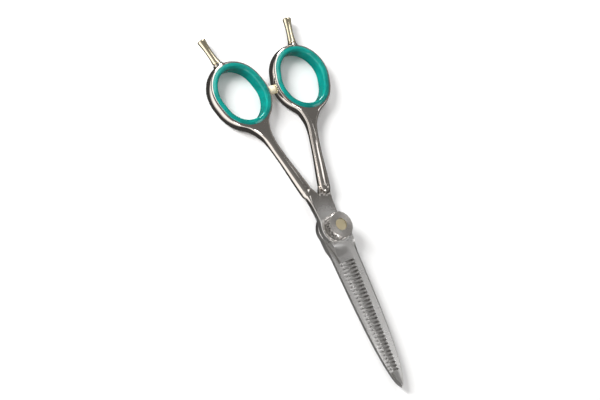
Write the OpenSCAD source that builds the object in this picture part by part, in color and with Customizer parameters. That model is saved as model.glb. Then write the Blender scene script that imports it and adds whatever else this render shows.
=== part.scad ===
// Thinning shears with two finger rests, closed. Millimetres, +Z up.
// The origin is on the pivot axis, in the flat back of the pivot bolt, which the shears lie on.
// +Y runs from the pivot to the blade tips. The comb half lies over the cutting half.

/* [Blades] */
// Distance from the pivot to the blade tips
blade_len = 66; // [62:1:72]
// Number of teeth on the comb blade
tooth_count = 30; // [26:1:30]
// Distance from one tooth to the next
tooth_pitch = 1.5; // [1.4:0.05:1.5]
// Width of the slot between two teeth
slot_w = 0.82; // [0.7:0.02:0.9]
// Thickness of each blade at the pivot
half_t = 2.5; // [2.3:0.1:2.6]
// Radius of the round boss at the pivot
boss_r = 6.3; // [6:0.1:6.8]

/* [Handles] */
// Angle between each shank and the centre line when closed
spread = 14.6; // [14.2:0.2:16]
// How far each ring's centre lies inside the line of its shank, seen from the pivot
ring_in = 0.7; // [0:0.1:1]
// Distance from the pivot to the centre of each finger ring
ring_dist = 62.5; // [61:0.5:68]
// Outside width of a finger ring
ring_w = 26; // [25.4:0.2:26.4]
// How much longer than wide a finger ring is
ring_stretch = 2.4; // [1.8:0.2:2.8]
// Outward turn of each ring's long axis
ring_cant = 4; // [0:1:6]
// Distance from the pivot to the shoulder of each shank
shoulder_dist = 16.8; // [16:0.2:19]
// Diameter of a shank where it meets the blade
shank_d = 4.8; // [4.6:0.1:5]
// Diameter of a shank over its slim end
shank_end_d = 3.8; // [3.6:0.1:4.2]

/* [Soft inserts] */
// Thickness of a ring insert over both lips
insert_t = 5.6; // [5.4:0.1:5.8]
// Width of the finger hole in an insert
hole_w = 19.2; // [18.6:0.2:19.6]

/* [Finger rests] */
// Length of a finger rest outside its ring
rest_len = 11; // [9:0.5:14]
// Diameter of a finger rest at its base and tip
rest_d = 3.4; // [3.2:0.1:3.6]
// Diameter of a finger rest at its waist
waist_d = 2.6; // [2.4:0.1:3]

/* [Tension dial] */
// Diameter of the tension dial
dial_d = 10.8; // [10.6:0.1:11.4]
// Number of grip scallops round the dial
scallops = 18; // [12:2:20]
// Number of click positions in one turn
clicks = 16; // [12:2:20]

/* [Hidden] */
$fn = 64;

// Sides of the assembly: the comb half turns one way from the centre line, the cutting half the other.
COMB = 1;
CUTTING = -1;

// Levels. The blades pass each other at mid_z, with run_gap between them.
mid_z = insert_t / 2;
run_gap = 0.1;
comb_z0 = mid_z + run_gap / 2;
comb_z1 = comb_z0 + half_t;
cut_z1 = mid_z - run_gap / 2;
cut_z0 = cut_z1 - half_t;

// Clearances
running = 0.03;  // a shaft in its hole
seated = 0.01;   // a pressed or glued piece in its seat, and a washer on a face that turns on it
cut = 1;         // how far a cutting tool runs past the face that it opens

// Finger ring, about the ring's own centre
ring_r = ring_w / 2;
rim_w = 2.3;
rim_t = 4.8;
rim_bulge_r = 4.2;
rim_in_r = ring_r - rim_w;
ring_end = ring_r + ring_stretch / 2;
lip_r = ring_r - 1;
lip_t = (insert_t - rim_t) / 2;
hole_r = hole_w / 2;
hole_round = 0.5;

// Shank and its gusset
weld_dist = shoulder_dist + 1.2;
shank_r = shank_d / 2;
shank_end_r = shank_end_d / 2;
slim_dist = 34;
shank_reach = ring_dist - ring_end + rim_w * 0.6;
gusset_t = 4.2;
gusset_start = ring_dist - ring_end - 6.4;

// Finger rest: its stud goes through a small boss into the rim
rest_start = ring_dist + ring_end + 0.7;
rest_boss_r = 1.9;
stud_r = 0.8;
stud_len = 2.2;

// Bumper, between the rings where they come closest
ring_x = ring_dist * sin(spread - ring_in);
ring_y = -ring_dist * cos(spread - ring_in);
ring_turn = spread - ring_in + ring_cant;
near_x = ring_x - ring_r - ring_stretch / 2 * sin(ring_turn);
near_y = ring_y + ring_stretch / 2 * cos(ring_turn);
seat_sink = 0.6;
seat_collar_r = 2;
seat_collar_t = 0.8;
seat_stud_r = 0.9;
seat_stud_len = 1.1;
pad_r = 1.7;
pad_plug_r = 0.6;
pad_plug_len = 1;
pad_gap = 0.1;

// Pivot bolt, from its head at the back to its thread under the dial
bolt_head_r = 4;
bolt_head_top = 1.1;
bolt_square = 4.4;
bolt_square_top = 1.9;
bolt_r = 2;
bolt_thread_r = 1.5;
bolt_flats = 3;
bolt_top = comb_z1 + 2.95;
bolt_hole_r = 0.8;
bolt_hole_len = 2.1;

// Stack over and between the blades
bush_r = 3;
washer_recess = 0.25;
washer_in_r = bolt_r + running;
ride_washer_r = 4.5;
thrust_washer_r = 4.3;
thrust_t = 0.3;
spring_z = comb_z1 + thrust_t;
spring_t = 0.3;
spring_h = 0.7;
spring_r = 4.2;
plate_z = spring_z + spring_h;
plate_t = 0.4;
plate_r = 4.4;
track_r = 3.2;
track_half_w = 0.36;
track_depth = 0.15;

// Dial, with its balls and springs
dial_z = plate_z + plate_t + 0.05;
dial_top = bolt_top + 0.9;
dial_r = dial_d / 2;
skirt_in_r = dial_r - 0.65;
skirt_z = comb_z1 + 0.2;
dial_recess_r = 2.5;
ball_r = 0.5;
ball_z = plate_z + plate_t - track_depth + 0.02 + ball_r;
pocket_r = ball_r + running;
pocket_top = dial_top - 0.5;
screw_head_r = 2.25;
screw_head_z = bolt_top + 0.05;
screw_head_t = 0.7;

// Comb teeth
tooth_w = tooth_pitch - slot_w;
last_tooth_y = blade_len - 8;
first_tooth_y = last_tooth_y - (tooth_count - 1) * tooth_pitch;
notch_depth = 0.25;

STEEL = [0.72, 0.7, 0.68];
BLADE_STEEL = [0.78, 0.79, 0.8];
TEAL = [0, 0.6, 0.5];
GOLD = [0.86, 0.74, 0.46];
CREAM = [0.93, 0.88, 0.74];

// ---- Shared shapes ----

// A point of the cubic curve with the control points p, at t from 0 to 1
function bezier(p, t) =
    pow(1 - t, 3) * p[0] + 3 * pow(1 - t, 2) * t * p[1] + 3 * (1 - t) * pow(t, 2) * p[2]
    + pow(t, 3) * p[3];
function curve(p, steps) = [for (i = [0:steps]) bezier(p, i / steps)];
function mirrored(points) = [for (i = [len(points) - 1:-1:0]) [-points[i][0], points[i][1]]];

// A value that runs from a at the first tooth to b at the last
function along_teeth(y, a, b) =
    a + (b - a) * (y - first_tooth_y) / (last_tooth_y - first_tooth_y);

// Turns a shank, drawn along -Y, to its half's closed angle
module on_shank(side) {
    rotate([0, 0, side * spread]) children();
}

// Turns the line from the pivot to the ring, drawn along -Y, to its half's closed angle
module on_ring_line(side) {
    rotate([0, 0, side * (spread - ring_in)]) children();
}

// Puts a ring, drawn about its own centre, in its place
module at_ring(side) {
    on_ring_line(side) translate([0, -ring_dist, mid_z]) rotate([0, 0, side * ring_cant]) children();
}

// Sweeps a section, drawn at x = its radius, round an oval of two half turns and two straights
module oval_sweep() {
    for (turn = [0, 180]) rotate([0, 0, turn]) {
        translate([0, ring_stretch / 2, 0]) rotate_extrude(angle = 180) children();
        rotate([90, 0, 0]) linear_extrude(ring_stretch, center = true) children();
    }
}

// A solid oval of radius r about the ring's centre
module oval_block(r, height) {
    linear_extrude(height, center = true) {
        for (end = [-1, 1]) translate([0, end * ring_stretch / 2]) circle(r);
        square([2 * r, ring_stretch], center = true);
    }
}

// A straight tapered bar along -Y at mid_z, from one distance from the pivot to another
module bar(from, to, r_from, r_to) {
    translate([0, -from, mid_z]) rotate([90, 0, 0]) cylinder(h = to - from, r1 = r_from, r2 = r_to);
}

module washer(r_in, r_out, z, t) {
    translate([0, 0, z]) difference() {
        cylinder(h = t, r = r_out);
        translate([0, 0, -cut]) cylinder(h = t + 2 * cut, r = r_in);
    }
}

module hole(r, z0, z1) {
    translate([0, 0, z0]) cylinder(h = z1 - z0, r = r);
}

// The bolt's outline where two flats key it
module flatted(r, flats) {
    intersection() {
        circle(r);
        square([2 * r, flats], center = true);
    }
}

// ---- Blades ----

function tip_x(y) = along_teeth(y, 3.3, 1.9);
function root_x(y) = along_teeth(y, -1.9, -0.7);
function tooth_y(i) = first_tooth_y + i * tooth_pitch;

// The tip of tooth i, with the small notch that holds the hair
function tooth_tip(i) = let (y = tooth_y(i), x = tip_x(y), w = tooth_w * 0.43) [
    [x, y - w], [x - notch_depth, y], [x, y + w]
];

// The round end of the slot after tooth i
function slot_end(i) = let (y = tooth_y(i) + tooth_pitch / 2, r = slot_w / 2) [
    for (a = [270:-45:90]) [root_x(y) + r + r * cos(a), y + r * sin(a)]
];

comb_spine = [[-6, 1.8], [-5.1, 0.4 * blade_len], [-5.4, 0.9 * blade_len], [0.9, blade_len]];
cut_spine = [[6, 1.8], [5.3, 0.4 * blade_len], [5.3, 0.9 * blade_len], [-0.1, blade_len + 0.4]];
cut_edge = [
    [-0.1, blade_len + 0.4], [-1.5, 0.8 * blade_len], [-2.2, 0.4 * blade_len], [-2.4, 14]
];

module comb_outline() {
    heel_y = first_tooth_y - tooth_pitch / 2 - slot_w / 2;
    nose_y = last_tooth_y + tooth_pitch / 2 + slot_w / 2;
    polygon(concat(
        curve([[6, 1.8], [5.6, 4.6], [4.2, 7], [3.6, heel_y - 1.5]], 8),
        [[3.45, heel_y]],
        slot_end(-1),
        [for (i = [0:tooth_count - 1]) each concat(tooth_tip(i), slot_end(i))],
        [[1.9, nose_y], [1.75, nose_y + 2.6]],
        [for (i = [14:-1:0]) bezier(comb_spine, i / 14)]
    ));
}

module cutting_outline() {
    heel = curve([[-2.4, 14], [-3.6, 9], [-5.6, 4.8], [-6, 1.8]], 8);
    polygon(concat(curve(cut_spine, 14), curve(cut_edge, 10), [for (i = [1:8]) heel[i]]));
}

// The flat tail behind the boss and the full-thickness stub that the shank is welded to
module tail(z0) {
    intersection() {
        translate([0, 0, z0]) linear_extrude(half_t)
            polygon([[-boss_r + 1, 0], [boss_r - 1, 0], [shank_r, -weld_dist], [-shank_r, -weld_dist]]);
        bar(0, weld_dist, 8, shank_r);
    }
    bar(shoulder_dist, weld_dist, shank_r + 0.05, shank_r);
}

// A wedge that slopes down from x = 0 towards +X, for grinding a bevel into a top face
module grind(slope) {
    rotate([0, slope, 0]) translate([0, -cut, 0]) cube([30, blade_len + 4, 8]);
}

module comb_blade() {
    color(BLADE_STEEL) difference() {
        union() {
            translate([0, 0, comb_z0]) linear_extrude(half_t) comb_outline();
            translate([0, 0, comb_z0]) cylinder(h = half_t, r = boss_r);
            on_shank(COMB) tail(comb_z0);
        }
        // bevel towards the tooth tips, bevel along the spine, and thinning towards the tip
        translate([-1.9, 7.5, comb_z1]) grind(15.5);
        translate([-4.2, 7.5, comb_z1]) mirror([1, 0, 0]) grind(38);
        translate([-10, 9, comb_z1]) rotate([-1.1, 0, 0]) cube([20, 70, 4]);
        hole(bush_r + seated, comb_z0 - cut, comb_z1 + cut);
    }
}

module cutting_blade() {
    color(BLADE_STEEL) difference() {
        union() {
            translate([0, 0, cut_z0]) linear_extrude(half_t) cutting_outline();
            translate([0, 0, cut_z0]) cylinder(h = half_t, r = boss_r);
            on_shank(CUTTING) tail(cut_z0);
        }
        // bevel towards the cutting edge, bevel along the spine, and thinning towards the tip
        mirror([0, 0, 1]) {
            translate([1.4, 7.5, -cut_z0]) mirror([1, 0, 0]) grind(30);
            translate([4.2, 7.5, -cut_z0]) grind(38);
            translate([-10, 9, -cut_z0]) rotate([-1.1, 0, 0]) cube([20, 70, 4]);
        }
        hole(bolt_head_r + running, cut_z0 - cut, bolt_head_top);
        translate([0, 0, bolt_square_top / 2])
            cube([bolt_square + 2 * running, bolt_square + 2 * running, bolt_square_top], center = true);
        hole(bolt_r + running, 0, cut_z1 + cut);
        hole(ride_washer_r + running, cut_z1 - washer_recess, cut_z1 + cut);
    }
}

// ---- Handles ----

// The rim's section: flat faces and a bulging outer side
module rim_section() {
    intersection() {
        translate([rim_in_r, -rim_t / 2]) square([rim_w, rim_t]);
        translate([ring_r - rim_bulge_r, 0]) circle(rim_bulge_r);
    }
}

// The web that spreads from the shank to the ring
module gusset() {
    edge = curve([
        [shank_end_r, -gusset_start], [shank_end_r, -gusset_start - 3.4],
        [3.8, -gusset_start - 6.2], [8.2, -gusset_start - 10.6]
    ], 10);
    translate([0, 0, mid_z]) linear_extrude(gusset_t, center = true)
        polygon(concat(edge, mirrored(edge)));
}

module handle(side) {
    difference() {
        union() {
            at_ring(side) oval_sweep() rim_section();
            difference() {
                union() {
                    on_shank(side) {
                        bar(weld_dist, slim_dist, shank_r, shank_end_r);
                        bar(slim_dist, shank_reach, shank_end_r, shank_end_r);
                        gusset();
                    }
                    on_ring_line(side) bar(rest_start - 2, rest_start, rest_boss_r + 0.3, rest_boss_r);
                }
                at_ring(side) oval_block(rim_in_r + 0.4, rim_t + 2 * cut);
            }
        }
        on_ring_line(side)
            bar(rest_start - stud_len - 0.2, rest_start + cut, stud_r + 0.05, stud_r + 0.05);
    }
}

module comb_handle() {
    color(STEEL) handle(COMB);
}

module cutting_handle() {
    color(STEEL) difference() {
        handle(CUTTING);
        at_bumper() {
            cylinder(h = 4, r = seat_collar_r + seated);
            translate([0, 0, -seat_stud_len]) cylinder(h = 4, r = seat_stud_r + seated);
        }
    }
}

// ---- Ring inserts ----

// A round-edged channel that clips over the rim's inner edge
module insert_section() {
    difference() {
        union() {
            translate([hole_r, -insert_t / 2]) square([rim_in_r - seated - hole_r, insert_t]);
            for (face = [-1, 1]) translate([0, face * (insert_t - lip_t) / 2]) {
                translate([hole_r, -lip_t / 2]) square([lip_r - lip_t / 2 - hole_r, lip_t]);
                translate([lip_r - lip_t / 2, 0]) circle(lip_t / 2);
            }
        }
        for (face = [-1, 1]) translate([hole_r, face * insert_t / 2]) difference() {
            square(2 * hole_round, center = true);
            translate([hole_round, -face * hole_round]) circle(hole_round);
        }
    }
}

module ring_insert(side) {
    color(TEAL) at_ring(side) oval_sweep() insert_section();
}

// ---- Finger rests ----

function rest_r(t) = waist_d / 2 + (rest_d - waist_d) / 2 * pow(2 * t - 1, 2);

module finger_rest(side) {
    steps = 12;
    round_tip = 0.5;
    body_len = rest_len - round_tip;
    color(GOLD) on_ring_line(side) translate([0, -rest_start, mid_z]) rotate([90, 0, 0])
        rotate_extrude() polygon(concat(
            [[0, -stud_len], [stud_r, -stud_len], [stud_r, 0]],
            [for (i = [0:steps]) [rest_r(i / steps), i / steps * body_len]],
            [for (a = [30:30:90]) [rest_d / 2 - round_tip * (1 - cos(a)), body_len + round_tip * sin(a)]],
            [[0, rest_len]]
        ));
}

// ---- Bumper ----

// The bumper's own frame: its base on the cutting ring, and +Z towards the comb ring
module at_bumper() {
    translate([-near_x - seat_sink, near_y, mid_z]) rotate([0, 90, 0]) children();
}

module bumper_seat() {
    color(GOLD) at_bumper() difference() {
        union() {
            cylinder(h = seat_collar_t, r = seat_collar_r);
            translate([0, 0, -seat_stud_len]) cylinder(h = seat_stud_len, r = seat_stud_r);
        }
        translate([0, 0, seat_collar_t - pad_plug_len]) cylinder(h = 2, r = pad_plug_r + seated);
    }
}

module bumper_pad() {
    length = 2 * near_x + seat_sink - seat_collar_t - pad_gap;
    dome = 0.4;
    color(CREAM) at_bumper() translate([0, 0, seat_collar_t]) rotate_extrude() polygon(concat(
        [[0, -pad_plug_len], [pad_plug_r, -pad_plug_len], [pad_plug_r, 0], [pad_r, 0]],
        [for (a = [0:18:90]) [pad_r - dome * (1 - cos(a)), length - dome * (1 - sin(a))]],
        [[0, length]]
    ));
}

// ---- Pivot ----

module pivot_bolt() {
    color(STEEL) difference() {
        union() {
            cylinder(h = bolt_head_top, r = bolt_head_r);
            translate([0, 0, (bolt_head_top + bolt_square_top) / 2])
                cube([bolt_square, bolt_square, bolt_square_top - bolt_head_top], center = true);
            hole(bolt_r, bolt_square_top, plate_z);
            translate([0, 0, plate_z]) linear_extrude(plate_t) flatted(bolt_r, bolt_flats);
            hole(bolt_thread_r, plate_z + plate_t, bolt_top);
        }
        hole(bolt_hole_r, bolt_top - bolt_hole_len, bolt_top + cut);
    }
}

module pivot_bush() {
    color(GOLD) washer(bolt_r + running, bush_r, comb_z0, half_t);
}

module ride_washer() {
    color("white")
        washer(washer_in_r, ride_washer_r, cut_z1 - washer_recess, washer_recess + run_gap - seated);
}

module thrust_washer() {
    color("white") washer(washer_in_r, thrust_washer_r, comb_z1 + seated, thrust_t - seated);
}

module dish_spring() {
    color(STEEL) rotate_extrude() polygon([
        [washer_in_r, plate_z - spring_t], [spring_r, spring_z],
        [spring_r, spring_z + spring_t], [washer_in_r, plate_z]
    ]);
}

module click_plate() {
    top = plate_z + plate_t;
    color(STEEL) difference() {
        hole(plate_r, plate_z, top);
        translate([0, 0, plate_z - cut]) linear_extrude(plate_t + 2 * cut)
            flatted(bolt_r + running, bolt_flats + 2 * running);
        washer(track_r - track_half_w, track_r + track_half_w, top - track_depth, cut);
        for (i = [0:clicks - 1]) rotate([0, 0, i * 360 / clicks])
            translate([track_r, 0, top - track_depth + 0.1]) sphere(0.26);
    }
}

// ---- Dial ----

module tension_dial() {
    bevel = 0.5;
    color(STEEL) difference() {
        rotate_extrude() polygon([
            [0, dial_z], [skirt_in_r, dial_z], [skirt_in_r, skirt_z], [dial_r - 0.2, skirt_z],
            [dial_r, skirt_z + 0.2], [dial_r, dial_top - bevel], [dial_r - bevel, dial_top],
            [0, dial_top]
        ]);
        hole(bolt_thread_r + 0.05, dial_z - cut, dial_top);
        hole(dial_recess_r, bolt_top, dial_top + cut);
        for (i = [0:scallops - 1]) rotate([0, 0, i * 360 / scallops])
            translate([dial_r + 0.25, 0, 0]) hole(0.6, skirt_z - cut, dial_top + cut);
        at_balls() hole(pocket_r, dial_z - cut, pocket_top);
    }
}

module at_balls() {
    for (side = [-1, 1]) translate([side * track_r, 0, 0]) children();
}

module detent_balls() {
    color(BLADE_STEEL) at_balls() translate([0, 0, ball_z]) sphere(ball_r);
}

// A coil spring of round wire, standing on z = 0
module coil(radius, wire_r, height, turns) {
    around = 14;
    sides = 6;
    steps = turns * around;
    rings = [for (i = [0:steps]) let (a = 360 * i / around, z = wire_r + (height - 2 * wire_r) * i / steps)
        for (k = [0:sides - 1]) let (b = 360 * k / sides, r = radius + wire_r * cos(b))
            [r * cos(a), r * sin(a), z + wire_r * sin(b)]];
    walls = [for (i = [0:steps - 1], k = [0:sides - 1]) let (n = (k + 1) % sides)
        [i * sides + k, (i + 1) * sides + k, (i + 1) * sides + n, i * sides + n]];
    polyhedron(rings, concat(
        walls,
        [[for (k = [0:sides - 1]) k]],
        [[for (k = [sides - 1:-1:0]) steps * sides + k]]
    ));
}

module detent_springs() {
    rest = ball_z + ball_r;
    color(STEEL) at_balls() translate([0, 0, rest]) coil(0.36, 0.07, pocket_top - rest, 4);
}

module lock_screw() {
    color(GOLD) difference() {
        union() {
            hole(screw_head_r, screw_head_z, screw_head_z + screw_head_t);
            hole(bolt_hole_r - 0.02, bolt_top - bolt_hole_len + 0.1, screw_head_z);
        }
        translate([0, 0, screw_head_z + screw_head_t]) cube([6, 0.6, 0.7], center = true);
    }
}

comb_blade();
comb_handle();
ring_insert(COMB);  // comb_ring_insert
finger_rest(COMB);  // comb_finger_rest
pivot_bush();
cutting_blade();
cutting_handle();
ring_insert(CUTTING);  // cutting_ring_insert
finger_rest(CUTTING);  // cutting_finger_rest
bumper_seat();
bumper_pad();
pivot_bolt();
ride_washer();
thrust_washer();
dish_spring();
click_plate();
lock_screw();
tension_dial();
detent_balls();
detent_springs();
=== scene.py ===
import math

import bpy
import numpy as np
from mathutils import Matrix, Vector
from mathutils.geometry import delaunay_2d_cdt


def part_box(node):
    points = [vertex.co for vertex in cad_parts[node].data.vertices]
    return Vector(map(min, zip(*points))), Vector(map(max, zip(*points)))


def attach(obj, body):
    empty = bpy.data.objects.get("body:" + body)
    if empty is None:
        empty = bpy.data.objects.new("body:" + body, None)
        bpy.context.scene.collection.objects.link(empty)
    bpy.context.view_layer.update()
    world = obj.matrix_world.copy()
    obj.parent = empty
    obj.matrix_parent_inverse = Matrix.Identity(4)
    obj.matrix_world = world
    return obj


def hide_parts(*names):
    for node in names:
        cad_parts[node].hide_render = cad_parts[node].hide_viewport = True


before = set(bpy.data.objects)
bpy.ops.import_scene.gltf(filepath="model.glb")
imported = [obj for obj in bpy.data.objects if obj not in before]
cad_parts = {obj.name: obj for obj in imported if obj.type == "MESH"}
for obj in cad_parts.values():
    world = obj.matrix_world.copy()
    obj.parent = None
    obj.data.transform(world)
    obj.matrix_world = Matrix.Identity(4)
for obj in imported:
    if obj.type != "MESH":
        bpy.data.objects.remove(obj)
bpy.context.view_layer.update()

# Shapes are drawn in millimetres, in the row frame or in a piece's own frame.
MM = 0.001

COARSE = 1


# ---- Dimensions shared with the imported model, in millimetres and degrees ----

MID_Z = 2.8          # the plane between the two blades
SPREAD = 14.6        # each shank's angle from the centre line
RING_IN = 0.7        # how far each ring's centre lies inside its shank's line
RING_CANT = 4.0      # outward turn of each ring's long axis
RING_DIST = 62.5     # from the pivot to a ring's centre
RING_R = 13.0
RING_STRETCH = 2.4   # a ring's length less its width
RIM_IN_R = 10.7
RIM_HALF_T = 2.4
RIM_BULGE_R = 4.8
LIP_R = 11.8
HOLE_R = 9.6
INSERT_HALF_T = 2.8
WELD_DIST = 18.0     # from the pivot to the weld between a tang and its handle
SHANK_R = 2.4
SLIM_R = 1.9         # the shank's radius at SLIM_DIST and beyond
SLIM_DIST = 34.0
REST_START = 77.4
REST_LEN = 11.0
REST_R = 1.7
WAIST_R = 1.3
BOSS_R = 1.9
WEB_EDGE_R = 1.5
PIVOT_BOSS_R = 6.3
HALF_T = 2.5         # the thickness of one half at the pivot
RUN_GAP = 0.1
COUNTERBORE_Z = 1.7
COMB, CUTTING = 1, -1
BODY = {COMB: "comb_half", CUTTING: "cutting_half"}
NAME = {COMB: "comb", CUTTING: "cutting"}


# ---- Mesh tools ----

def new_piece(name, points, faces, material, body, replaced, normals=None):
    """A smooth mesh piece from points in the row frame, in millimetres, riding on a body."""
    mesh = bpy.data.meshes.new(name)
    mesh.from_pydata((np.asarray(points) * MM).tolist(), [], [list(map(int, f)) for f in faces])
    mesh.validate()
    mesh.polygons.foreach_set("use_smooth", [True] * len(mesh.polygons))
    if normals is not None:
        mesh.normals_split_custom_set_from_vertices(np.asarray(normals).tolist())
    mesh.materials.append(material)
    obj = bpy.data.objects.new(name, mesh)
    bpy.context.scene.collection.objects.link(obj)
    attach(obj, body)
    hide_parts(*replaced)
    return obj


def turned(points, degrees):
    """Points turned about +Z."""
    c, s = math.cos(math.radians(degrees)), math.sin(math.radians(degrees))
    points = np.asarray(points, float)
    x, y = points[:, 0], points[:, 1]
    return np.stack([c * x - s * y, s * x + c * y, points[:, 2]], 1)


def half_turn(points, side):
    """The two halves are half a turn about +Y apart."""
    return np.asarray(points) * (side, 1, side)


def half_place(points, side):
    """From a half's own frame, with z = 0 on the middle plane, to the row frame."""
    return half_turn(points, side) + (0, 0, MID_Z)


def bezier(p, t):
    """Points of a cubic curve with the control points p, at the values t."""
    t = np.asarray(t)[:, None]
    p = np.asarray(p, float)
    return ((1 - t) ** 3 * p[0] + 3 * (1 - t) ** 2 * t * p[1] + 3 * (1 - t) * t ** 2 * p[2]
            + t ** 3 * p[3])


def rounded(corners, steps=5):
    """A profile from corners (r, z, radius): each corner with a radius becomes an arc."""
    out = []
    for i, (x, y, radius) in enumerate(corners):
        here = np.array((x, y), float)
        before = np.array(corners[i - 1][:2], float) - here
        after = np.array(corners[(i + 1) % len(corners)][:2], float) - here
        if radius == 0:
            out.append(here)
            continue
        before /= np.linalg.norm(before)
        after /= np.linalg.norm(after)
        half = math.acos(np.clip(before @ after, -1, 1)) / 2
        middle = (before + after) / np.linalg.norm(before + after)
        centre = here + middle * radius / math.sin(half)
        start = here + before * radius / math.tan(half) - centre
        end = here + after * radius / math.tan(half) - centre
        angle = math.pi - 2 * half
        for k in range(steps + 1):
            t = k / steps
            arm = (start * math.sin((1 - t) * angle) + end * math.sin(t * angle)) / math.sin(angle)
            out.append(centre + arm)
    return np.array(out)


def swept(profile, path, closed_profile, closed_path):
    """Quads over a grid of points, where path gives a row of points for each (r, z) of the profile."""
    rows = np.array([path(r, z) for r, z in profile])
    n, m = rows.shape[:2]
    faces = []
    for i in range(n if closed_profile else n - 1):
        for k in range(m if closed_path else m - 1):
            corners = (i, k), ((i + 1) % n, k), ((i + 1) % n, (k + 1) % m), (i, (k + 1) % m)
            faces.append([row * m + column for row, column in corners])
    return rows.reshape(-1, 3), faces


def oval_path(r, z, around=96, straight=4):
    """A closed oval about the ring's centre at radius r and height z."""
    half = RING_STRETCH / 2
    angles = np.linspace(0, math.pi, around // 2 + 1)
    far = np.stack([r * np.cos(angles), half + r * np.sin(angles)], 1)
    side = np.stack([np.full(straight - 1, -r), np.linspace(half, -half, straight + 1)[1:-1]], 1)
    loop = np.concatenate([far, side, -far, -side])
    return np.column_stack([loop, np.full(len(loop), z)])


def lathe(profile, segments=72):
    """A solid of revolution about +Z. The profile starts and ends on the axis."""
    angles = np.linspace(0, 2 * math.pi, segments, endpoint=False)

    def circle(r, z):
        return np.stack([r * np.cos(angles), r * np.sin(angles), np.full(segments, z)], 1)

    points, faces = swept(profile[1:-1], circle, False, True)
    start, end = len(points), len(points) + 1
    last = start - segments
    points = np.concatenate([points, [[0, 0, profile[0][1]], [0, 0, profile[-1][1]]]])
    for k in range(segments):
        n = (k + 1) % segments
        faces.append([start, k, n])
        faces.append([last + k, end, last + n])
    return points, faces


# ---- Solids as distance functions ----

RELAX_PASSES = 4
RELAX = 0.6          # how far a relaxing point goes towards the middle of its neighbours
PULL_PASSES = 3      # steps back to the surface in each pass
LEAST_SLOPE = 0.05   # squared, which keeps a step short where a distance is nearly level
NORMAL_STEP = 0.03


def eased(t):
    """A smooth rise from 0 to 1 while t goes from 0 to 1."""
    t = np.clip(t, 0, 1)
    return t * t * (3 - 2 * t)


def smooth_min(a, b, k):
    """The smaller of two distances, with a fillet of about the size k where they meet."""
    h = np.clip(0.5 + 0.5 * (b - a) / k, 0, 1)
    return b + (a - b) * h - k * h * (1 - h)


def smooth_max(a, b, k):
    return -smooth_min(-a, -b, k)


def gradient(distance, points, step=0.01):
    out = np.empty_like(points)
    for axis in range(3):
        shift = np.zeros(3)
        shift[axis] = step
        out[:, axis] = (distance(points + shift) - distance(points - shift)) / (2 * step)
    return out


def net_faces(inside, index):
    """Quads of a surface net: one for each grid edge that has one end inside and the other outside."""
    faces = []
    for axis in range(3):
        one, two = [a for a in range(3) if a != axis]
        here = np.moveaxis(inside, axis, 0)
        change = np.argwhere(here[1:] != here[:-1])
        cell = np.empty_like(change)
        cell[:, axis], cell[:, one], cell[:, two] = change[:, 0], change[:, 1], change[:, 2]
        keep = (cell[:, one] > 0) & (cell[:, two] > 0)
        cell = cell[keep]
        leaves = here[:-1][tuple(change[keep].T)]
        corners = []
        for a, b in ((1, 1), (0, 1), (0, 0), (1, 0)):
            at = cell.copy()
            at[:, one] -= a
            at[:, two] -= b
            corners.append(index[tuple(at.T)])
        quads = np.stack(corners, 1)
        flip = leaves != (axis != 1)
        quads[flip] = quads[flip][:, ::-1]
        faces.append(quads)
    return np.concatenate(faces)


def surface_net(distance, low, high, step):
    """Points, quads and normals of the surface where distance is 0, on a grid of the given step."""
    axes = [np.arange(a, b + step, step) for a, b in zip(low, high)]
    grid = np.stack(np.meshgrid(*axes, indexing="ij"), -1)
    inside = (distance(grid.reshape(-1, 3)) < 0).reshape(grid.shape[:3])
    count = np.zeros([n - 1 for n in inside.shape], int)
    for i in (0, 1):
        for j in (0, 1):
            for k in (0, 1):
                count += inside[i:i + count.shape[0], j:j + count.shape[1], k:k + count.shape[2]]
    active = (count > 0) & (count < 8)
    index = np.full(active.shape, -1)
    index[active] = np.arange(active.sum())
    points = np.array(low) + (np.argwhere(active) + 0.5) * step
    faces = net_faces(inside, index)
    pairs = np.concatenate([faces[:, [i, (i + 1) % 4]] for i in range(4)])
    for _ in range(RELAX_PASSES):
        total = np.zeros_like(points)
        near = np.zeros(len(points))
        np.add.at(total, pairs[:, 0], points[pairs[:, 1]])
        np.add.at(near, pairs[:, 0], 1)
        points = points * (1 - RELAX) + total / near[:, None] * RELAX
        for _ in range(PULL_PASSES):
            slope = gradient(distance, points)
            length = np.maximum((slope ** 2).sum(1), LEAST_SLOPE)
            points = points - slope * np.clip(distance(points) / length, -step, step)[:, None]
    normals = gradient(distance, points, NORMAL_STEP)
    normals /= np.maximum(np.linalg.norm(normals, axis=1), 1e-9)[:, None]
    return points, faces, normals


# ---- Materials ----

# Noise scales are in features per metre, and bump distances are in metres.
SMUDGE_SCALE = 160
SPECK_SCALE = 9000
SPECK_STRENGTH = 0.03
SPECK_BUMP = 0.00001
GRAIN_BUMP = 0.00002
GRAIN_ROUGHNESS = 0.04       # how far the grain lifts and lowers the roughness
CLOUD_SCALE = 220
CLOUD_ROUGHNESS = -0.04, 0.06    # how far the clouding changes the roughness
SKIN_SCALE = 5200
SKIN_STRENGTH = 0.08
SKIN_BUMP = 0.00003
WAVE_SCALE = 0.314           # the wave texture's scale for one ring per metre
POLISH_START = 0.0065        # metres from the pivot axis, where a tang's satin starts to turn to polish
POLISH_END = 0.0165


def material(name, **values):
    """A new material, with values for the Principled shader's own sockets."""
    made = bpy.data.materials.new(name)
    made.use_nodes = True
    shader = made.node_tree.nodes["Principled BSDF"]
    for key, value in values.items():
        shader.inputs[key.replace("_", " ")].default_value = value
    return made, made.node_tree, shader


def node(tree, kind, inputs=(), **settings):
    """A new node, with each input either linked to a socket or set to a value."""
    made = tree.nodes.new(kind)
    for key, value in settings.items():
        setattr(made, key, value)
    for key, value in dict(inputs).items():
        if isinstance(value, bpy.types.NodeSocket):
            tree.links.new(value, made.inputs[key])
        else:
            made.inputs[key].default_value = value
    return made


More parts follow.
